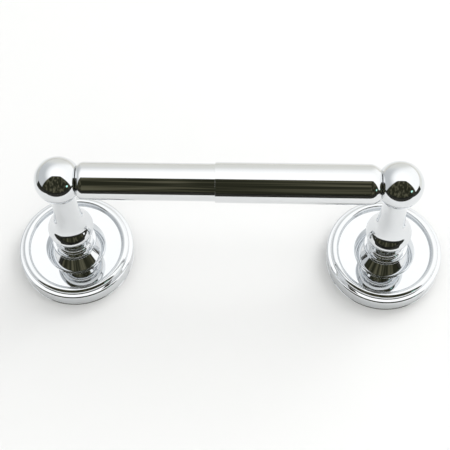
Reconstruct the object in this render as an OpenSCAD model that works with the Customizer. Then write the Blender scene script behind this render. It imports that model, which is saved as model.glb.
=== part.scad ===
// Wall-mounted toilet paper holder: two round posts with ball heads and a spring-loaded roller.
// Frame: wall plane at Y = 0, posts stand out along -Y, +Z is up, the roller lies along X.
// Each post is drawn along its own local Z, from the wall outwards, and then laid along -Y.

/* [Overall] */
// Distance between the two post axes
post_spacing = 165; // [160:1:180]
// Height of the ball centre and roller axis above the wall
projection = 81; // [78:0.5:90]

/* [Flange] */
// Outer radius of the round flange
flange_r = 30.6; // [29:0.1:32]
// Height of the flange's side wall, up to the ledge
flange_h = 9; // [8.5:0.1:10]
// Wall thickness of the flange
flange_wall = 1.8; // [1.4:0.1:2.2]
// Centre radius of the raised ring on the flange
bead_r = 26.6; // [26:0.1:27]
// Section radius of the raised ring
bead_section = 2.0; // [1.6:0.1:2.2]

/* [Pedestal] */
// Radius of the cone at its foot
cone_foot_r = 16; // [15:0.1:18]
// Radius of the cone at its top
cone_top_r = 11.5; // [11:0.1:12.5]
// Height of the cone's top above the wall
cone_top_z = 17.8; // [17:0.1:19]

/* [Stem] */
// Radius of the waist between cone and bell
waist_r = 8.9; // [8.4:0.1:9.4]
// Height of the bell's widest ring above the wall
bell_z = 31.8; // [31:0.1:33]
// Largest radius of the bell
bell_r = 11.8; // [11.2:0.1:12.4]
// Radius of the neck under the ball
neck_r = 6.1; // [5.6:0.1:6.6]

/* [Head] */
// Radius of the ball
ball_r = 11.7; // [11.2:0.1:12.4]
// Distance from the ball's centre to its flat face
flat_offset = 8.9; // [8.5:0.1:9.2]
// Depth of the socket for the roller's pin
socket_depth = 6.4; // [6:0.1:7]

/* [Roller] */
// Outer radius of the larger sleeve
outer_r = 10; // [9.8:0.05:10.4]
// Outer radius of the smaller sleeve
inner_r = 9.25; // [9:0.05:9.3]
// X of the larger sleeve's open end
seam_x = -6.3; // [-12:0.1:0]
// How far the smaller sleeve reaches beyond the seam
overlap = 38; // [30:1:44]
// Radius of the two end pins
pin_r = 3; // [2.8:0.05:3.2]

/* [Fasteners] */
// Distance from the bracket's centre to each wall screw
wall_screw_offset = 15; // [14:0.5:16]
// Radius of the wall screw holes
wall_screw_r = 2.3; // [2:0.05:2.6]
// Radius of the tie rod
rod_r = 2.5; // [2.4:0.05:2.6]

/* [Hidden] */
$fn = 72;
// How far a cutting shape runs past the face that it opens
cut = 1;
half = post_spacing / 2;

// Roller
run_gap = 0.06;
end_gap = 0.35;
sleeve_end = half - flat_offset - end_gap;
outer_bore_r = inner_r + run_gap;
inner_bore_r = inner_r - 0.7;
outer_taper = 5.6;
outer_end_r = 8.1;
outer_end_round = 0.8;
outer_shoulder_r = 7;
outer_slope = 32;
inner_shoulder_r = 4;
inner_slope = 55;
pin_hole_r = pin_r + 2;
end_wall = 1;
plug_len = 9;
outer_plug_r = 5.9;
inner_plug_r = 7;
pin_len = 5.6;
pin_round = 0.8;
spring_r = 6.6;
wire_r = 0.7;
spring_turns = 15;
ring_steps = 16;
wire_sides = 6;

// Flange and pedestal
flange_deck = flange_h - flange_wall;
flange_round = 1;
bead_foot_r = 0.6;
foot_h = 1.2;
cone_ring_h = 2;
cone_round = 0.4;
spigot_r = 5;
spigot_h = 3;
spigot_gap = 0.1;

// Stem and head
foot_collar_r = waist_r + 1.1;
foot_collar_h = 1.4;
foot_collar_round = 0.4;
cove_r = 1.2;
bell_round = 3.4;
bell_foot = 55;
bell_shoulder = 26;
neck_top_z = projection - 10.4;
neck_cove_r = 1.2;
collar_r = 7.4;
collar_round = 0.75;
collar_z = neck_top_z - 2 * collar_round;

// Fasteners and wall bracket
rod_hole_r = rod_r + 0.1;
rod_bottom_z = 1.2;
rod_top_z = projection - 6;
rod_seat = 0.4;
nut_flats = 8;
nut_h = 3.2;
nut_chamfer = 0.6;
washer_r = 4.6;
washer_h = 1;
washer_split = 0.8;
bracket_h = 5.2;
bracket_reach = 24;
bracket_waist = bracket_reach - 0.8;
bracket_half_w = 11;
pocket_r = 7.2;
countersink = 2.4;
countersink_h = 2;
screw_z = 3.4;
screw_r = 2;
screw_head_r = flange_r - 0.4;
screw_tip_r = 0.9;
screw_reach = bracket_reach + 0.25;
hex_r = 1.15;
hex_depth = 2;

chrome = [0.82, 0.83, 0.85];
zinc = [0.62, 0.63, 0.64];
steel = [0.50, 0.51, 0.53];

// Points of an arc about c, from angle a0 to angle a1.
function arc(c, r, a0, a1, n = 8) =
    [for (i = [0:n]) let (a = a0 + (a1 - a0) * i / n) [c[0] + r * cos(a), c[1] + r * sin(a)]];

// Puts a post's part, drawn along local Z, on the wall: side is -1 for left, 1 for right.
module on_wall(side) {
    translate([side * half, 0, 0])
        rotate([90, 0, 0])
            mirror([side < 0 ? 1 : 0, 0, 0])
                children();
}

// Turns a part drawn along Z so that it lies along X at the roller's axis.
module on_roller_axis() {
    translate([0, -projection, 0])
        rotate([0, 90, 0])
            children();
}

// The bracket's ends slope inwards towards the wall, so that the set screw draws the flange down.
module wall_bracket() {
    waist_z = 0.4 * bracket_h;
    color(zinc)
        difference() {
            intersection() {
                union() {
                    cylinder(r1 = bracket_reach, r2 = bracket_waist, h = waist_z);
                    translate([0, 0, waist_z])
                        cylinder(r1 = bracket_waist, r2 = bracket_reach + 0.6, h = bracket_h - waist_z);
                }
                translate([-bracket_half_w, -flange_r, 0])
                    cube([2 * bracket_half_w, 2 * flange_r, bracket_h]);
            }
            translate([0, 0, -cut])
                cylinder(r = pocket_r, h = bracket_h + 2 * cut);
            for (s = [-1, 1])
                translate([0, s * wall_screw_offset, -cut])
                    cylinder(r = wall_screw_r, h = bracket_h + 2 * cut);
            for (s = [-1, 1])
                translate([0, s * wall_screw_offset, bracket_h - countersink_h])
                    cylinder(r1 = wall_screw_r, r2 = wall_screw_r + countersink, h = countersink);
        }
}

module flange() {
    side_r = flange_r - flange_wall;
    shell = concat(
        [[rod_hole_r, flange_deck], [side_r, flange_deck], [side_r, 0], [flange_r, 0]],
        arc([flange_r - flange_round, flange_h - flange_round], flange_round, 0, 90, 6),
        [[bead_r + bead_section, flange_h + 0.15]],
        arc([bead_r, flange_h + 0.8], bead_section, 0, 180, 16),
        arc([bead_r - bead_section - bead_foot_r, flange_h + bead_foot_r], bead_foot_r, 0, -90, 4),
        [[rod_hole_r, flange_h]]);
    color(chrome)
        difference() {
            rotate_extrude()
                polygon(shell);
            translate([0, flange_r + cut, screw_z])
                rotate([90, 0, 0])
                    cylinder(r = screw_r, h = flange_wall + 3 * cut);
        }
}

module pedestal() {
    hole_r = spigot_r + spigot_gap;
    outline = concat(
        [[rod_hole_r, flange_h], [cone_foot_r, flange_h]],
        arc([cone_foot_r - foot_h / 2, flange_h + foot_h / 2], foot_h / 2, 0, 75, 5),
        [[cone_top_r, cone_top_z - cone_ring_h]],
        arc([cone_top_r - cone_round, cone_top_z - cone_round], cone_round, 0, 90, 4),
        [[hole_r, cone_top_z], [hole_r, cone_top_z - spigot_h], [rod_hole_r, cone_top_z - spigot_h]]);
    color(chrome)
        rotate_extrude()
            polygon(outline);
}

// A turned stem: a spigot, a foot collar, a waist with a cove at each end, a bell and a long neck.
module stem() {
    spigot_z = cone_top_z - spigot_h + spigot_gap;
    foot_top_z = cone_top_z + foot_collar_h;
    bell_c = [bell_r - bell_round, bell_z];
    lip_z = bell_z - bell_round * sin(bell_foot);
    outline = concat(
        [[rod_hole_r, spigot_z], [spigot_r, spigot_z], [spigot_r, cone_top_z],
         [foot_collar_r, cone_top_z]],
        arc([foot_collar_r - foot_collar_round, foot_top_z - foot_collar_round], foot_collar_round, 0, 90, 4),
        arc([waist_r + cove_r, foot_top_z + cove_r], cove_r, 240, 180, 4),
        arc([waist_r + cove_r, lip_z - cove_r], cove_r, 180, 100, 5),
        arc(bell_c, bell_round, -bell_foot, bell_shoulder, 12),
        [[10.2, bell_z + 3.6], [9, bell_z + 5.5], [8.05, bell_z + 7.7], [7.4, bell_z + 10.3],
         [6.95, bell_z + 13.8], [6.55, bell_z + 18.8], [6.3, bell_z + 25.4], [neck_r, collar_z - 4]],
        arc([neck_r + neck_cove_r, collar_z - neck_cove_r - 0.1], neck_cove_r, 180, 120, 4),
        arc([collar_r - collar_round, collar_z + collar_round], collar_round, -60, 90, 6),
        [[rod_hole_r, neck_top_z]]);
    color(chrome)
        rotate_extrude()
            polygon(outline);
}

// The flat faces -X here, towards the roller of the right post.
module head() {
    color(chrome)
        difference() {
            translate([0, 0, projection])
                sphere(r = ball_r);
            translate([-flat_offset - ball_r, -ball_r, projection - ball_r])
                cube([ball_r, 2 * ball_r, 2 * ball_r]);
            cylinder(r = ball_r, h = neck_top_z);
            translate([0, 0, neck_top_z - cut])
                cylinder(r = rod_r, h = rod_top_z + rod_seat - neck_top_z + cut);
            translate([-flat_offset - cut, 0, projection])
                rotate([0, 90, 0])
                    cylinder(r = pin_r + run_gap, h = socket_depth + cut);
        }
}

module tie_rod() {
    color(steel)
        translate([0, 0, rod_bottom_z])
            cylinder(r = rod_r, h = rod_top_z - rod_bottom_z);
}

module lock_washer() {
    color(steel)
        translate([0, 0, flange_deck - washer_h])
            difference() {
                cylinder(r = washer_r, h = washer_h);
                translate([0, 0, -cut])
                    cylinder(r = rod_hole_r, h = washer_h + 2 * cut);
                translate([0, -washer_split / 2, -cut])
                    cube([washer_r + cut, washer_split, washer_h + 2 * cut]);
            }
}

// The cone that chamfers the nut's lower corners rises at 45 degrees.
module nut() {
    cone_r = nut_flats / 2 + nut_chamfer / 3;
    color(steel)
        translate([0, 0, flange_deck - washer_h - nut_h])
            difference() {
                intersection() {
                    cylinder(r = nut_flats / sqrt(3), h = nut_h, $fn = 6);
                    cylinder(r1 = cone_r, r2 = cone_r + nut_h, h = nut_h);
                }
                translate([0, 0, -cut])
                    cylinder(r = rod_r, h = nut_h + 2 * cut);
            }
}

// The screw points inwards, with its hexagon socket outside and its point against the bracket.
module set_screw() {
    point_h = screw_r - screw_tip_r;
    shank_h = screw_head_r - screw_reach - point_h;
    color(steel)
        translate([0, screw_head_r, screw_z])
            rotate([90, 0, 0])
                difference() {
                    union() {
                        cylinder(r = screw_r, h = shank_h);
                        translate([0, 0, shank_h])
                            cylinder(r1 = screw_r, r2 = screw_tip_r, h = point_h);
                    }
                    translate([0, 0, -cut])
                        cylinder(r = hex_r, h = hex_depth + cut, $fn = 6);
                }
}

module outer_sleeve() {
    len = sleeve_end - seam_x;
    taper_z = len - outer_taper;
    edge = 0.15;
    outline = concat(
        [[outer_bore_r, 0], [outer_r - edge, 0], [outer_r, edge]],
        arc([outer_r - outer_shoulder_r, taper_z], outer_shoulder_r, 0, outer_slope, 7),
        arc([outer_end_r - outer_end_round, len - outer_end_round], outer_end_round, outer_slope, 90, 5),
        [[pin_hole_r, len], [pin_hole_r, len - end_wall], [outer_end_r - 1.2, len - end_wall],
         [outer_bore_r, taper_z]]);
    color(chrome)
        on_roller_axis()
            translate([0, 0, seam_x])
                rotate_extrude()
                    polygon(outline);
}

module inner_sleeve() {
    len = sleeve_end + seam_x + overlap;
    shoulder_z = inner_shoulder_r * sin(inner_slope);
    outline = concat(
        [[inner_bore_r, len], [inner_r, len]],
        arc([inner_r - inner_shoulder_r, shoulder_z], inner_shoulder_r, 0, -inner_slope, 8),
        [[pin_hole_r, 0], [pin_hole_r, end_wall], [inner_bore_r - end_wall, end_wall],
         [inner_bore_r, 2 * end_wall]]);
    color(chrome)
        on_roller_axis()
            translate([0, 0, -sleeve_end])
                rotate_extrude()
                    polygon(outline);
}

// An end plug with its pin, drawn pointing along +Z from the sleeve's end at z = 0.
module end_pin(plug_r) {
    color(zinc)
        rotate_extrude()
            polygon(concat(
                [[0, -plug_len], [plug_r, -plug_len], [plug_r, -end_wall - 1.2],
                 [pin_hole_r, -end_wall], [pin_hole_r, 0], [pin_r, 0]],
                arc([pin_r - pin_round, pin_len - pin_round], pin_round, 0, 90, 5),
                [[0, pin_len]]));
}

module outer_end_pin() {
    on_roller_axis()
        translate([0, 0, sleeve_end])
            end_pin(outer_plug_r);
}

module inner_end_pin() {
    on_roller_axis()
        translate([0, 0, -sleeve_end])
            mirror([0, 0, 1])
                end_pin(inner_plug_r);
}

// A point of the spring's wire: t is the turn number, a the angle round the wire.
function wire_point(t, a) =
    let (
        x1 = sleeve_end - plug_len - wire_r - 0.1,
        x = x1 * (2 * t / spring_turns - 1),
        reach = spring_r + wire_r * cos(a))
    [x + wire_r * sin(a), -projection + reach * cos(360 * t), reach * sin(360 * t)];

module roller_spring() {
    rings = spring_turns * ring_steps;
    points = [for (i = [0:rings]) for (k = [0:wire_sides - 1])
        wire_point(i / ring_steps, 360 * k / wire_sides)];
    sides = [for (i = [0:rings - 1]) for (k = [0:wire_sides - 1])
        let (n = (k + 1) % wire_sides)
        [i * wire_sides + k, i * wire_sides + n, (i + 1) * wire_sides + n, (i + 1) * wire_sides + k]];
    start_cap = [for (k = [0:wire_sides - 1]) wire_sides - 1 - k];
    end_cap = [for (k = [0:wire_sides - 1]) rings * wire_sides + k];
    color(steel)
        polyhedron(points, concat(sides, [start_cap, end_cap]));
}

on_wall(-1) wall_bracket();  // left_wall_bracket
on_wall(-1) flange();  // left_flange
on_wall(-1) pedestal();  // left_pedestal
on_wall(-1) stem();  // left_stem
on_wall(-1) head();  // left_head
on_wall(-1) tie_rod();  // left_tie_rod
on_wall(-1) lock_washer();  // left_lock_washer
on_wall(-1) nut();  // left_nut
on_wall(-1) set_screw();  // left_set_screw
on_wall(1) wall_bracket();  // right_wall_bracket
on_wall(1) flange();  // right_flange
on_wall(1) pedestal();  // right_pedestal
on_wall(1) stem();  // right_stem
on_wall(1) head();  // right_head
on_wall(1) tie_rod();  // right_tie_rod
on_wall(1) lock_washer();  // right_lock_washer
on_wall(1) nut();  // right_nut
on_wall(1) set_screw();  // right_set_screw
outer_sleeve();
outer_end_pin();
inner_sleeve();
inner_end_pin();
roller_spring();
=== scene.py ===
"""A wall-mounted toilet paper holder in polished chrome: the looks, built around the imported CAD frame.

The wall plane is Y = 0, the posts stand out along -Y, +Z is up and the roller lies along X.
Outlines are in millimetres, as (radius, height) points; meshes, lights and places are in metres.
"""

import math

import bmesh
import bpy
import numpy as np
from mathutils import Matrix, Vector


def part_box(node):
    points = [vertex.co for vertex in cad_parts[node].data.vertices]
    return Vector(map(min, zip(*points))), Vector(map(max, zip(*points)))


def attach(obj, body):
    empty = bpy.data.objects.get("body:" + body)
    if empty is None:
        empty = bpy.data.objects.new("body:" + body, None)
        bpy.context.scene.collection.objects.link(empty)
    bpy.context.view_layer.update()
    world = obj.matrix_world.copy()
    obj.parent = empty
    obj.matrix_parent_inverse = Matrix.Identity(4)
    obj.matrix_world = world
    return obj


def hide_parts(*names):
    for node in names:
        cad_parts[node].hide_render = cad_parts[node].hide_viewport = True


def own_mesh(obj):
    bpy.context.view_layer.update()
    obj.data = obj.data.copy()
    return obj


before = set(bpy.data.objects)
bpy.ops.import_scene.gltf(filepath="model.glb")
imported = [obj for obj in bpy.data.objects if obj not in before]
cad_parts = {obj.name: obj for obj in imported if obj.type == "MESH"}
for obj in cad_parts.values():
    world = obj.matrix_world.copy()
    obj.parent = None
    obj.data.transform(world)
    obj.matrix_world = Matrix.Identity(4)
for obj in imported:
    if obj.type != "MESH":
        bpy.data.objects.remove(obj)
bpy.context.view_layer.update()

MM = 0.001
SEGMENTS = 192
SMOOTH_LIMIT = math.radians(32)

# ---------------------------------------------------------------- sizes, in millimetres

HEAD_LOW, HEAD_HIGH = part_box("right_head")
FLANGE_LOW, FLANGE_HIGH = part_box("right_flange")

HALF_SPACING = (FLANGE_LOW.x + FLANGE_HIGH.x) / 2 / MM
FLANGE_R = (FLANGE_HIGH.x - FLANGE_LOW.x) / 2 / MM
BALL_R = HEAD_HIGH.x / MM - HALF_SPACING
PROJECTION = -HEAD_LOW.y / MM - BALL_R
FLAT_OFFSET = HALF_SPACING - HEAD_LOW.x / MM
NECK_TOP = -HEAD_HIGH.y / MM
OUTER_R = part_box("outer_sleeve")[1].z / MM
INNER_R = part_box("inner_sleeve")[1].z / MM
SEAM_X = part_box("outer_sleeve")[0].x / MM
SLEEVE_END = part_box("outer_sleeve")[1].x / MM
INNER_OPEN_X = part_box("inner_sleeve")[1].x / MM

FLANGE_H = 9.0
FLANGE_WALL = 1.8
BEAD_R = 26.6
BEAD_SECTION = 2.0
CONE_FOOT_R = 16.0
CONE_TOP_R = 11.5
CONE_TOP_Z = 17.8
CONE_RING_H = 2.0
WAIST_R = 8.9
BELL_Z = 31.8
BELL_R = 11.8
BELL_ROUND = 3.4
BELL_FOOT = 55.0
BELL_SHOULDER = 26.0
NECK_R = 6.1
COLLAR_R = 7.4
COLLAR_ROUND = 0.75
ROD_R = 2.5
ROD_HOLE_R = 2.6
SPIGOT_R = 5.0
SPIGOT_H = 3.0
SCREW_Z = 3.4
SCREW_R = 2.0
PIN_R = 3.0
PIN_HOLE_R = 5.0
SOCKET_DEPTH = 6.4
OUTER_END_R = 8.1
OUTER_END_ROUND = 0.8
OUTER_TAPER = 5.6
OUTER_SHOULDER_R = 7
OUTER_SLOPE = 32
INNER_SHOULDER_R = 4
INNER_SLOPE = 55
PLUG_LEN = 9


# ---------------------------------------------------------------- outlines

def arc(centre, radius, start, end, steps=12):
    """Points of an arc about centre, from the angle start to the angle end, in degrees."""
    angles = [math.radians(start + (end - start) * i / steps) for i in range(steps + 1)]
    return [(centre[0] + radius * math.cos(a), centre[1] + radius * math.sin(a)) for a in angles]


def rounded(corners, step=9.0):
    """An outline's points from its corners: (r, z, rounding) becomes an arc, (r, z) stays as it is."""
    points = []
    for i, corner in enumerate(corners):
        here = Vector(corner[:2])
        if len(corner) == 2:
            points.append(tuple(here))
            continue
        back = (Vector(corners[i - 1][:2]) - here).normalized()
        on = (Vector(corners[(i + 1) % len(corners)][:2]) - here).normalized()
        half = back.angle(on) / 2
        centre = here + (back + on).normalized() * (corner[2] / math.sin(half))
        first = here + back * (corner[2] / math.tan(half)) - centre
        turn = math.pi - 2 * half
        sign = 1 if first.x * on.y - first.y * on.x > 0 else -1
        count = max(2, math.ceil(math.degrees(turn) / step))
        for k in range(count + 1):
            a = sign * turn * k / count
            points.append((centre.x + first.x * math.cos(a) - first.y * math.sin(a),
                           centre.y + first.x * math.sin(a) + first.y * math.cos(a)))
    return points


def spline(knots, steps=6):
    """A smooth curve through the knots: a natural cubic spline over their chord lengths."""
    p = np.array(knots, float)
    h = np.linalg.norm(np.diff(p, axis=0), axis=1)
    n = len(p)
    lhs = np.eye(n)
    rhs = np.zeros((n, 2))
    for i in range(1, n - 1):
        lhs[i, i - 1:i + 2] = [h[i - 1], 2 * (h[i - 1] + h[i]), h[i]]
        rhs[i] = 6 * ((p[i + 1] - p[i]) / h[i] - (p[i] - p[i - 1]) / h[i - 1])
    bend = np.linalg.solve(lhs, rhs)
    curve = [tuple(p[0])]
    for i in range(n - 1):
        for k in range(1, steps + 1):
            b = k / steps
            a = 1 - b
            sag = ((a ** 3 - a) * bend[i] + (b ** 3 - b) * bend[i + 1]) * h[i] ** 2 / 6
            curve.append(tuple(a * p[i] + b * p[i + 1] + sag))
    return curve


# ---------------------------------------------------------------- meshes

def on_post(side):
    """Puts a post's part, drawn along local Z, on the wall; side is -1 for left and 1 for right."""
    lay = Matrix.Rotation(math.radians(90), 4, "X") @ Matrix.Diagonal((side, 1, 1, 1))
    return Matrix.Translation((side * HALF_SPACING * MM, 0, 0)) @ lay


def on_roller(x=0.0, along=1):
    """Puts a part drawn along local Z on the roller's axis, starting at x and pointing to +X or -X."""
    turn = Matrix.Rotation(math.radians(90), 4, "Y") @ Matrix.Diagonal((1, 1, along, 1))
    return Matrix.Translation((x * MM, -PROJECTION * MM, 0)) @ turn


def solid(name, vertices, faces, place):
    """A mesh object from points in millimetres, put in place, with its faces turned outwards."""
    mesh = bpy.data.meshes.new(name)
    mesh.from_pydata([place @ (Vector(v) * MM) for v in vertices], [], faces)
    work = bmesh.new()
    work.from_mesh(mesh)
    bmesh.ops.remove_doubles(work, verts=work.verts, dist=1e-7)
    bmesh.ops.recalc_face_normals(work, faces=work.faces)
    work.to_mesh(mesh)
    work.free()
    made = bpy.data.objects.new(name, mesh)
    bpy.context.scene.collection.objects.link(made)
    return made


def lathe(name, outline, place, segments=SEGMENTS):
    """Turns a closed outline of (r, z) points about local Z. A point with r = 0 is a pole."""
    vertices = []
    rings = []
    for r, z in outline:
        first = len(vertices)
        if r < 1e-6:
            vertices.append((0, 0, z))
            rings.append([first] * segments)
            continue
        for k in range(segments):
            a = math.tau * k / segments
            vertices.append((r * math.cos(a), r * math.sin(a), z))
        rings.append(list(range(first, first + segments)))
    faces = []
    for i, ring in enumerate(rings):
        after = rings[(i + 1) % len(rings)]
        for k in range(segments):
            n = (k + 1) % segments
            corners = dict.fromkeys((ring[k], ring[n], after[n], after[k]))
            if len(corners) > 2:
                faces.append(list(corners))
    return solid(name, vertices, faces, place)


def prism(name, outline, low, high, place):
    """A closed outline of (x, y) points, drawn up from low to high."""
    n = len(outline)
    vertices = [(x, y, z) for z in (low, high) for x, y in outline]
    faces = [list(range(n)), list(range(n, 2 * n))]
    faces += [[k, (k + 1) % n, n + (k + 1) % n, n + k] for k in range(n)]
    return solid(name, vertices, faces, place)


def hexagon(flats):
    """Corners of a hexagon, from its width across flats."""
    return arc((0, 0), flats / math.sqrt(3), 0, 300, 5)


def sweep(name, path, section, place):
    """Joins rings of points, each with section points, into a closed tube."""
    vertices = [p for ring in path for p in ring]
    n = section
    faces = []
    for i in range(len(path) - 1):
        for k in range(n):
            m = (k + 1) % n
            faces.append([i * n + k, i * n + m, (i + 1) * n + m, (i + 1) * n + k])
    faces.append(list(range(n)))
    faces.append([(len(path) - 1) * n + k for k in range(n)])
    return solid(name, vertices, faces, place)


def combine(target, tool, operation="DIFFERENCE"):
    """Cuts target with tool, or keeps what they share, and removes the tool."""
    modifier = target.modifiers.new("combine", "BOOLEAN")
    modifier.operation = operation
    modifier.solver = "EXACT"
    modifier.object = tool
    bpy.context.view_layer.update()
    result = bpy.data.meshes.new_from_object(target.evaluated_get(bpy.context.evaluated_depsgraph_get()))
    target.modifiers.clear()
    target.data = result
    bpy.data.objects.remove(tool)
    return target


def soften(target, width, segments=2):
    """Rounds a piece's sharp edges."""
    modifier = target.modifiers.new("soften", "BEVEL")
    modifier.width = width * MM
    modifier.segments = segments
    modifier.limit_method = "ANGLE"
    modifier.angle_limit = math.radians(40)
    bpy.context.view_layer.update()
    result = bpy.data.meshes.new_from_object(target.evaluated_get(bpy.context.evaluated_depsgraph_get()))
    target.modifiers.clear()
    target.data = result
    return target


def threaded(name, length, radius, pitch, depth, thread_from, thread_to, place, chamfer=0.5, around=48):
    """A screw or rod along local Z from 0, with a helical thread between two heights."""
    per_turn = 8
    heights = [0.0]
    z = pitch / per_turn
    while z < thread_to:
        heights.append(z)
        z += pitch / per_turn
    heights += [thread_to, length - chamfer, length]
    rings = []
    for z in heights:
        end = min(1.0, z / chamfer, (length - z) / chamfer)
        fade = max(0.0, min(1.0, (z - thread_from) / pitch, (thread_to - z) / pitch))
        ring = []
        for k in range(around):
            turn = (z / pitch - k / around) % 1.0
            groove = depth * fade * (1 - abs(2 * turn - 1)) ** 0.8
            r = radius - chamfer * (1 - end) - groove * end
            a = math.tau * k / around
            ring.append((r * math.cos(a), r * math.sin(a), z))
        rings.append(ring)
    return sweep(name, rings, around, place)


# ---------------------------------------------------------------- materials

class Nodes:
    """Adds nodes to a tree with little writing."""

    def __init__(self, tree):
        self.tree = tree
        tree.nodes.clear()

    def add(self, kind, inputs=None, **settings):
        node = self.tree.nodes.new(kind)
        for key, value in settings.items():
            setattr(node, key, value)
        for key, value in (inputs or {}).items():
            if isinstance(value, bpy.types.NodeSocket):
                self.tree.links.new(value, node.inputs[key])
            else:
                node.inputs[key].default_value = value
        return node

    def math(self, operation, a, b=0.0):
        return self.add("ShaderNodeMath", {0: a, 1: b}, operation=operation).outputs[0]

    def remap(self, value, low, high, to_low=0.0, to_high=1.0, kind="SMOOTHSTEP"):
        names = {"Value": value, "From Min": low, "From Max": high, "To Min": to_low, "To Max": to_high}
        return self.add("ShaderNodeMapRange", names, interpolation_type=kind).outputs["Result"]

    def blend(self, factor, a, b):
        node = self.add("ShaderNodeMix", data_type="RGBA")
        for socket, value in ((node.inputs[0], factor), (node.inputs[6], a), (node.inputs[7], b)):
            if isinstance(value, bpy.types.NodeSocket):
                self.tree.links.new(value, socket)
            else:
                socket.default_value = value
        return node.outputs[2]

    def noise(self, coordinates, scale, detail=2.0, stretch=(1, 1, 1)):
        moved = self.add("ShaderNodeMapping", {"Vector": coordinates, "Scale": stretch}).outputs[0]
        return self.add("ShaderNodeTexNoise", {"Vector": moved, "Scale": scale, "Detail": detail}).outputs[0]


def metal(name, light, dark, rough, waves, grain, stretch=(1, 1, 1)):
    """A metal with slow waves in its surface, fine grain, and a little tone and gloss variation."""
    material = bpy.data.materials.new(name)
    material.use_nodes = True
    n = Nodes(material.node_tree)
    place = n.add("ShaderNodeTexCoord").outputs["Object"]
    cloud = n.noise(place, 90.0, 3.0)
    fine = n.noise(place, 1400.0, 4.0, stretch)
    slow = n.noise(place, 45.0, 1.0)
    colour = n.blend(cloud, (*dark, 1), (*light, 1))
    gloss = n.remap(fine, 0.3, 0.7, rough[0], rough[1], "LINEAR")
    shape = n.add("ShaderNodeBump", {"Strength": 1.0, "Distance": waves, "Height": slow}).outputs[0]
    scratch = n.add("ShaderNodeBump", {"Strength": 1.0, "Distance": grain, "Height": fine, "Normal": shape})
    shader = n.add("ShaderNodeBsdfPrincipled", {
        "Base Color": colour, "Metallic": 1.0, "Roughness": gloss, "Normal": scratch.outputs[0]})
    n.add("ShaderNodeOutputMaterial", {"Surface": shader.outputs[0]})
    return material


CAST_CHROME = metal("cast_chrome", (0.77, 0.785, 0.80), (0.73, 0.75, 0.77), (0.02, 0.05), 1.2e-5, 1.5e-7)
TUBE_CHROME = metal("tube_chrome", (0.78, 0.79, 0.80), (0.74, 0.755, 0.77), (0.02, 0.06), 0.6e-5, 2.0e-7,
                    stretch=(0.08, 1, 1))
ZINC = metal("cast_zinc", (0.62, 0.63, 0.64), (0.48, 0.49, 0.50), (0.32, 0.55), 2e-5, 6e-6)
STEEL = metal("plated_steel", (0.60, 0.61, 0.62), (0.44, 0.45, 0.47), (0.22, 0.42), 1e-5, 2e-6)
FINISH = {"chrome": CAST_CHROME, "zinc": ZINC, "steel": STEEL}


def finish_piece(made, node, body, slot, material=None):
    """Shades a piece, gives it its material, hangs it on its body and hides the CAD node it stands for."""
    made.data.materials.clear()
    made.data.materials.append(material or FINISH[slot])
    made.data.polygons.foreach_set("use_smooth", [True] * len(made.data.polygons))
    made.data.set_sharp_from_angle(angle=SMOOTH_LIMIT)
    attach(made, body)
    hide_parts(node)
    return made


# ---------------------------------------------------------------- pieces of a post

def flange(name, place):
    side_r = FLANGE_R - FLANGE_WALL
    deck = FLANGE_H - FLANGE_WALL
    bead_z = FLANGE_H + 0.8
    outline = rounded([
        (ROD_HOLE_R, deck), (side_r, deck, 0.5), (side_r, 0, 0.25), (FLANGE_R, 0, 0.25),
        *arc((FLANGE_R - 1, FLANGE_H - 1), 1, 0, 90, 10),
        (BEAD_R + BEAD_SECTION, FLANGE_H + 0.15)])
    outline += arc((BEAD_R, bead_z), BEAD_SECTION, 0, 180, 28)
    outline += arc((BEAD_R - BEAD_SECTION - 0.6, FLANGE_H + 0.6), 0.6, 0, -90, 8)
    outline.append((ROD_HOLE_R, FLANGE_H))
    made = lathe(name, outline, place)
    inwards = Matrix.Rotation(math.radians(90), 4, "X")
    hole = Matrix.Translation((0, (FLANGE_R + 1) * MM, SCREW_Z * MM)) @ inwards
    drill = lathe("drill", [(0, 0), (SCREW_R + 0.05, 0), (SCREW_R + 0.05, 6), (0, 6)], place @ hole, 48)
    return combine(made, drill)


def pedestal(name, place):
    hole_r = SPIGOT_R + 0.1
    foot_h = 1.2
    outline = [(ROD_HOLE_R, FLANGE_H), (CONE_FOOT_R, FLANGE_H)]
    outline += arc((CONE_FOOT_R - foot_h / 2, FLANGE_H + foot_h / 2), foot_h / 2, 0, 75, 8)
    outline += [(CONE_TOP_R, CONE_TOP_Z - CONE_RING_H, 0.5)]
    outline += arc((CONE_TOP_R - 0.4, CONE_TOP_Z - 0.4), 0.4, 0, 90, 8)
    outline += [(hole_r, CONE_TOP_Z), (hole_r, CONE_TOP_Z - SPIGOT_H), (ROD_HOLE_R, CONE_TOP_Z - SPIGOT_H)]
    return lathe(name, rounded(outline, 5), place)


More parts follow.
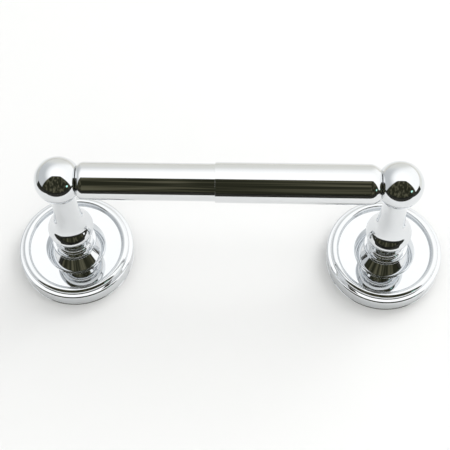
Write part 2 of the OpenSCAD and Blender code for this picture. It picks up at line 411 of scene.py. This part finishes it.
def stem(name, place):
    spigot_z = CONE_TOP_Z - SPIGOT_H + 0.1
    collar_z = NECK_TOP - 2 * COLLAR_ROUND
    foot_r = WAIST_R + 1.1
    foot_top = CONE_TOP_Z + 1.4
    lip_z = BELL_Z - BELL_ROUND * math.sin(math.radians(BELL_FOOT))
    bell = arc((BELL_R - BELL_ROUND, BELL_Z), BELL_ROUND, -BELL_FOOT, BELL_SHOULDER, 20)
    outline = [
        (ROD_HOLE_R, spigot_z), (SPIGOT_R, spigot_z), (SPIGOT_R, CONE_TOP_Z), (foot_r, CONE_TOP_Z),
        *arc((foot_r - 0.4, foot_top - 0.4), 0.4, 0, 90, 8),
        *arc((WAIST_R + 1.2, foot_top + 1.2), 1.2, 240, 180, 8),
        *arc((WAIST_R + 1.2, lip_z - 1.2), 1.2, 180, 100, 10)]
    outline += bell
    outline += spline([
        bell[-1], (10.2, BELL_Z + 3.6), (9.0, BELL_Z + 5.5), (8.05, BELL_Z + 7.7), (7.4, BELL_Z + 10.3),
        (6.95, BELL_Z + 13.8), (6.55, BELL_Z + 18.8), (6.3, BELL_Z + 25.4), (NECK_R, collar_z - 4)], 8)[1:]
    outline += arc((NECK_R + 1.2, collar_z - 1.3), 1.2, 180, 120, 8)
    outline += arc((COLLAR_R - COLLAR_ROUND, collar_z + COLLAR_ROUND), COLLAR_ROUND, -60, 90, 12)
    outline.append((ROD_HOLE_R, NECK_TOP))
    return lathe(name, outline, place)


def head(name, side):
    """The ball, turned about the roller's axis, then cut for its neck and rod."""
    edge = math.degrees(math.acos(FLAT_OFFSET / BALL_R))
    flat_r = BALL_R * math.sin(math.radians(edge))
    socket_r = PIN_R + 0.06
    outline = [(0, -FLAT_OFFSET + SOCKET_DEPTH), (socket_r, -FLAT_OFFSET + SOCKET_DEPTH)]
    outline += [(socket_r, -FLAT_OFFSET + 0.35), (socket_r + 0.35, -FLAT_OFFSET)]
    beyond = math.radians(edge + 5)
    on_ball = (BALL_R * math.sin(beyond), -BALL_R * math.cos(beyond))
    outline += rounded([(socket_r + 0.35, -FLAT_OFFSET), (flat_r, -FLAT_OFFSET, 0.35), on_ball])[1:-1]
    outline += arc((0, 0), BALL_R, -90 + edge + 4, 90, 60)[:-1]
    outline.append((0, BALL_R))
    place = on_roller(side * HALF_SPACING, side)
    made = lathe(name, outline, place)
    bore = [(0, 0), (BALL_R + 1, 0), (BALL_R + 1, NECK_TOP), (ROD_R, NECK_TOP), (ROD_R, PROJECTION - 5.6),
            (0, PROJECTION - 5.6)]
    return combine(made, lathe("bore", bore, on_post(side), 96))


def tie_rod(name, place):
    bottom = 1.2
    return threaded(name, PROJECTION - 6 - bottom, ROD_R, 0.8, 0.35, 0.6, 12.0,
                    place @ Matrix.Translation((0, 0, bottom * MM)), around=64)


def lock_washer(name, place):
    """A split spring washer, squeezed flat."""
    low = FLANGE_H - FLANGE_WALL - 1.0
    section = rounded([
        (ROD_HOLE_R, low, 0.12), (4.6, low, 0.18), (4.6, low + 1, 0.18), (ROD_HOLE_R, low + 1, 0.12)])
    gap = 0.11
    rings = []
    for i in range(97):
        a = gap + (math.tau - 2 * gap) * i / 96
        rings.append([(r * math.cos(a + 0.08 * (z - low)), r * math.sin(a + 0.08 * (z - low)), z)
                      for r, z in section])
    return sweep(name, rings, len(section), place)


def nut(name, place):
    low = FLANGE_H - FLANGE_WALL - 1.0 - 3.2
    made = prism(name, hexagon(8), low, low + 3.2, place)
    cone = rounded([
        (0, low), (4.2, low), (5.0, low + 0.55), (5.0, low + 2.8), (4.4, low + 3.2), (0, low + 3.2)])
    combine(made, lathe("cone", cone, place, 96), "INTERSECT")
    bore_r = ROD_R - 0.05
    bore = [(0, low - 1), (3.0, low - 1), (3.0, low), (bore_r, low + 0.5), (bore_r, low + 4), (0, low + 4)]
    return combine(made, lathe("bore", bore, place, 64))


def set_screw(name, place):
    head_r = FLANGE_R - 0.4
    reach = 24.25
    length = head_r - reach
    start = Matrix.Translation((0, reach * MM, SCREW_Z * MM))
    outwards = place @ start @ Matrix.Rotation(math.radians(-90), 4, "X")
    made = threaded(name, length, SCREW_R, 0.7, 0.28, 0.3, length - 0.3, outwards, chamfer=0.35)
    socket = prism("socket", hexagon(2), length - 2, length + 1, outwards)
    return combine(made, socket)


def bracket(name, place):
    height, reach, half_w = 5.2, 24.0, 11.0
    waist_z = 0.4 * height
    profile = [(0, 0), (reach, 0), (reach - 0.8, waist_z), (reach + 0.6, height), (0, height)]
    made = lathe(name, profile, place)
    sides = [(-half_w, -30), (half_w, -30), (half_w, 30), (-half_w, 30)]
    combine(made, prism("sides", sides, -1, height + 1, place), "INTERSECT")
    combine(made, lathe("pocket", [(0, -1), (7.2, -1), (7.2, 7), (0, 7)], place, 96))
    for y in (-15, 15):
        at = place @ Matrix.Translation((0, y * MM, 0))
        hole = [(0, -1), (2.3, -1), (2.3, height - 2), (4.7, height + 0.4), (0, height + 0.4)]
        combine(made, lathe("hole", hole, at, 64))
    return soften(made, 0.3)


for side, word in ((-1, "left"), (1, "right")):
    spot = on_post(side)
    finish_piece(bracket(word + "_mounting_bracket", spot), word + "_wall_bracket", "posts", "zinc")
    finish_piece(flange(word + "_flange_cover", spot), word + "_flange", "posts", "chrome")
    finish_piece(pedestal(word + "_pedestal_cone", spot), word + "_pedestal", "posts", "chrome")
    finish_piece(stem(word + "_turned_stem", spot), word + "_stem", "posts", "chrome")
    finish_piece(head(word + "_ball_head", side), word + "_head", "posts", "chrome")
    finish_piece(tie_rod(word + "_threaded_rod", spot), word + "_tie_rod", "posts", "steel")
    finish_piece(lock_washer(word + "_spring_washer", spot), word + "_lock_washer", "posts", "steel")
    finish_piece(nut(word + "_hexagon_nut", spot), word + "_nut", "posts", "steel")
    finish_piece(set_screw(word + "_grub_screw", spot), word + "_set_screw", "posts", "steel")


# ---------------------------------------------------------------- pieces of the roller

def outer_sleeve(name):
    length = SLEEVE_END - SEAM_X
    taper_z = length - OUTER_TAPER
    bore_r = INNER_R + 0.06
    outline = [
        (bore_r, 0), (OUTER_R, 0, 0.05),
        *arc((OUTER_R - OUTER_SHOULDER_R, taper_z), OUTER_SHOULDER_R, 0, OUTER_SLOPE, 16),
        *arc((OUTER_END_R - OUTER_END_ROUND, length - OUTER_END_ROUND), OUTER_END_ROUND, OUTER_SLOPE, 90, 8),
        (PIN_HOLE_R, length), (PIN_HOLE_R, length - 1), (OUTER_END_R - 1.2, length - 1), (bore_r, taper_z)]
    return lathe(name, rounded(outline), on_roller(SEAM_X))


def inner_sleeve(name):
    length = SLEEVE_END + INNER_OPEN_X
    bore_r = INNER_R - 0.7
    shoulder_z = INNER_SHOULDER_R * math.sin(math.radians(INNER_SLOPE))
    outline = [
        (bore_r, length, 0.1), (INNER_R, length, 0.2),
        *arc((INNER_R - INNER_SHOULDER_R, shoulder_z), INNER_SHOULDER_R, 0, -INNER_SLOPE, 16),
        (PIN_HOLE_R, 0), (PIN_HOLE_R, 1), (bore_r - 1, 1), (bore_r, 2)]
    return lathe(name, rounded(outline), on_roller(-SLEEVE_END))


def end_pin(name, plug_r, side):
    outline = rounded([
        (0, -PLUG_LEN), (plug_r, -PLUG_LEN, 0.3), (plug_r, -2.2), (PIN_HOLE_R, -1), (PIN_HOLE_R, 0),
        (PIN_R, 0, 0.0001), (PIN_R, 5.6, 0.8), (0, 5.6)])
    return lathe(name, outline, on_roller(side * SLEEVE_END, side), 96)


def spring(name):
    """A compression spring of round wire, drawn along local Z."""
    turns, per_turn, sides = 15, 28, 12
    coil_r, wire_r = 6.6, 0.7
    end = SLEEVE_END - PLUG_LEN - wire_r - 0.1
    rings = []
    for i in range(turns * per_turn + 1):
        a = math.tau * i / per_turn
        x = end * (2 * i / (turns * per_turn) - 1)
        ring = []
        for k in range(sides):
            b = math.tau * k / sides
            r = coil_r + wire_r * math.cos(b)
            ring.append((r * math.cos(a), r * math.sin(a), x + wire_r * math.sin(b)))
        rings.append(ring)
    return sweep(name, rings, sides, on_roller())


finish_piece(outer_sleeve("larger_roller_sleeve"), "outer_sleeve", "larger_half", "chrome", TUBE_CHROME)
finish_piece(end_pin("larger_end_plug", 5.9, 1), "outer_end_pin", "larger_half", "zinc")
finish_piece(inner_sleeve("smaller_roller_sleeve"), "inner_sleeve", "smaller_half", "chrome", TUBE_CHROME)
finish_piece(end_pin("smaller_end_plug", 7.0, -1), "inner_end_pin", "smaller_half", "zinc")
coil = finish_piece(spring("compression_spring"), "roller_spring", "larger_half", "steel")
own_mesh(coil)


# ---------------------------------------------------------------- stage, light and camera

def plane(name, centre, across, up, material):
    """A flat sheet: across and up are its half sizes as vectors."""
    c, a, u = Vector(centre), Vector(across), Vector(up)
    mesh = bpy.data.meshes.new(name)
    mesh.from_pydata([c - a - u, c + a - u, c + a + u, c - a + u], [], [(0, 1, 2, 3)])
    made = bpy.data.objects.new(name, mesh)
    bpy.context.scene.collection.objects.link(made)
    mesh.materials.append(material)
    return made


def plain(name, colour, one_sided=False):
    """A matt paint. One-sided, it can't be seen from behind."""
    material = bpy.data.materials.new(name)
    material.use_nodes = True
    n = Nodes(material.node_tree)
    shader = n.add("ShaderNodeBsdfDiffuse", {"Color": (*colour, 1)}).outputs[0]
    if one_sided:
        clear = n.add("ShaderNodeBsdfTransparent").outputs[0]
        back = n.add("ShaderNodeNewGeometry").outputs["Backfacing"]
        shader = n.add("ShaderNodeMixShader", {0: back, 1: shader, 2: clear}).outputs[0]
    n.add("ShaderNodeOutputMaterial", {"Surface": shader})
    return material


def open_under_flanges(material):
    """Clears the wall's paint inside the flanges, so that their backs are lit when seen from behind."""
    tree = material.node_tree
    mix = [node for node in tree.nodes if node.bl_idname == "ShaderNodeMixShader"][0]
    back = mix.inputs[0].links[0].from_socket

    def step(operation, a, b=0.0):
        node = tree.nodes.new("ShaderNodeMath")
        node.operation = operation
        for socket, value in zip(node.inputs, (a, b)):
            if isinstance(value, bpy.types.NodeSocket):
                tree.links.new(value, socket)
            else:
                socket.default_value = value
        return node.outputs[0]

    axes = tree.nodes.new("ShaderNodeSeparateXYZ")
    tree.links.new(tree.nodes.new("ShaderNodeTexCoord").outputs["Object"], axes.inputs[0])
    across = step("SUBTRACT", step("ABSOLUTE", axes.outputs[0]), HALF_SPACING * MM)
    radius = step("SQRT", step("ADD", step("MULTIPLY", across, across),
                               step("MULTIPLY", axes.outputs[2], axes.outputs[2])))
    inside = step("LESS_THAN", radius, (FLANGE_R - FLANGE_WALL) * MM)
    tree.links.new(step("MAXIMUM", back, inside), mix.inputs[0])
    return material


WALL_Y = 0.0004
wall_paint = open_under_flanges(plain("wall_paint", (0.81, 0.81, 0.81), True))
plane("wall", (0, WALL_Y, 0), (2.0, 0, 0), (0, 0, 2.0), wall_paint)
floor = plane("floor", (0, -1.0, -0.6), (2.0, 0, 0), (0, 1.0, 0), plain("floor_paint", (0.9, 0.9, 0.89)))
floor.visible_glossy = False

# Cards just in front of the wall, seen only in the chrome, end the white sheet that the holder reflects.
# Their colours are painted reflections: dark where the room's shade would show, and greys that paint shade
# around the sheet, darkest on the left.
SHEET = {"left": -0.26, "right": 0.30, "bottom": -0.19, "top": 0.24}
FAR = 2.0
# The painted shade that the dark cards show in the chrome.
PAINTED_DARK_REFLECTION = (0.03, 0.03, 0.026)


def card(name, low, high, shade):
    """A reflection-only card from the corner low to the corner high, as (x, z)."""
    centre = ((low[0] + high[0]) / 2, -0.0006, (low[1] + high[1]) / 2)
    size = ((high[0] - low[0]) / 2, (high[1] - low[1]) / 2)
    made = plane(name, centre, (size[0], 0, 0), (0, 0, size[1]), plain(name + "_paint", shade, True))
    made.visible_camera = False
    made.visible_diffuse = False
    made.visible_shadow = False


card("card_below", (-FAR, -FAR), (FAR, SHEET["bottom"]), PAINTED_DARK_REFLECTION)
card("card_above", (-FAR, SHEET["top"]), (FAR, FAR), (0.68, 0.67, 0.63))
card("card_left", (-FAR, 0), (SHEET["left"], SHEET["top"]), (0.55, 0.56, 0.56))
card("card_right", (SHEET["right"], 0), (FAR, SHEET["top"]), (0.72, 0.72, 0.69))
card("card_low_left", (-FAR, SHEET["bottom"]), (SHEET["left"], 0), PAINTED_DARK_REFLECTION)
card("card_low_right", (SHEET["right"], SHEET["bottom"]), (FAR, 0), PAINTED_DARK_REFLECTION)


def studio():
    """A white light tent, open and dark below and in front, where the photographer stands."""
    world = bpy.data.worlds.new("studio")
    world.use_nodes = True
    n = Nodes(world.node_tree)
    direction = n.add("ShaderNodeTexCoord").outputs["Generated"]
    axes = n.add("ShaderNodeSeparateXYZ", {0: direction}).outputs
    out = n.math("MULTIPLY", axes[1], -1.0)
    down = n.math("MULTIPLY", axes[2], -1.0)
    across = n.math("ABSOLUTE", axes[0])
    side_room = n.math("SUBTRACT", n.math("MULTIPLY", down, 2.1), across)
    top_room = n.math("SUBTRACT", n.math("MULTIPLY", down, 5.67), out)
    dark = n.math("MULTIPLY", n.remap(side_room, -0.06, 0.06), n.remap(top_room, -0.12, 0.12))
    streaks = n.noise(direction, 3.5, 1.0, (2.2, 1, 1))
    shade = n.blend(n.remap(streaks, 0.4, 0.75), (0.024, 0.025, 0.015, 1), (0.12, 0.115, 0.075, 1))
    walls = n.blend(n.remap(axes[0], -0.9, 0.8), (0.64, 0.66, 0.67, 1), (1.28, 1.28, 1.26, 1))
    behind = n.blend(n.remap(axes[2], 0.75, 1.0), walls, (0.86, 0.86, 0.81, 1))
    tent = n.blend(n.remap(out, 0.5, 0.98), behind, (1.36, 1.36, 1.35, 1))
    window = n.add("ShaderNodeVectorMath", {0: direction, 1: Vector((0.746, -0.225, -0.626)).normalized()},
                   operation="DOT_PRODUCT").outputs["Value"]
    spot = n.remap(window, math.cos(math.radians(5.5)), math.cos(math.radians(3.5)))
    seen = n.blend(spot, n.blend(dark, tent, shade), (0.75, 1.35, 1.2, 1))
    camera_ray = n.add("ShaderNodeLightPath").outputs["Is Camera Ray"]
    colour = n.blend(camera_ray, seen, (0.94, 0.94, 0.94, 1))
    back = n.add("ShaderNodeBackground", {"Color": colour, "Strength": 1.0})
    n.add("ShaderNodeOutputWorld", {"Surface": back.outputs[0]})
    bpy.context.scene.world = world


def soft_light(name, at, target, size, power):
    """A square soft box, which lights without showing in the chrome."""
    data = bpy.data.lights.new(name, "AREA")
    data.size = size
    data.energy = power
    made = bpy.data.objects.new(name, data)
    made.location = at
    made.rotation_euler = (Vector(target) - Vector(at)).to_track_quat("-Z", "Y").to_euler()
    made.visible_camera = False
    made.visible_glossy = False
    bpy.context.scene.collection.objects.link(made)


def camera():
    """The viewing angle: below and in front of the holder, a little turned and tilted."""
    field_of_view, yaw, pitch, roll = 21.507, 2.603, 62.730, -1.488
    turns = [("X", 90), ("Z", yaw), ("X", 90 - pitch), ("Z", roll)]
    data = bpy.data.cameras.new("camera")
    data.sensor_width = 36
    data.angle = math.radians(field_of_view)
    made = bpy.data.objects.new("camera", data)
    pose = Matrix.Translation((0.01049, -0.57925, -0.27958))
    for axis, angle in turns:
        pose = pose @ Matrix.Rotation(math.radians(angle), 4, axis)
    made.matrix_world = pose
    bpy.context.scene.collection.objects.link(made)
    bpy.context.scene.camera = made


studio()
soft_light("key", (0.7, -0.9, 0.7), (0, -0.03, 0), 0.8, 6.0)
camera()
bpy.context.scene.view_settings.view_transform = "Standard"
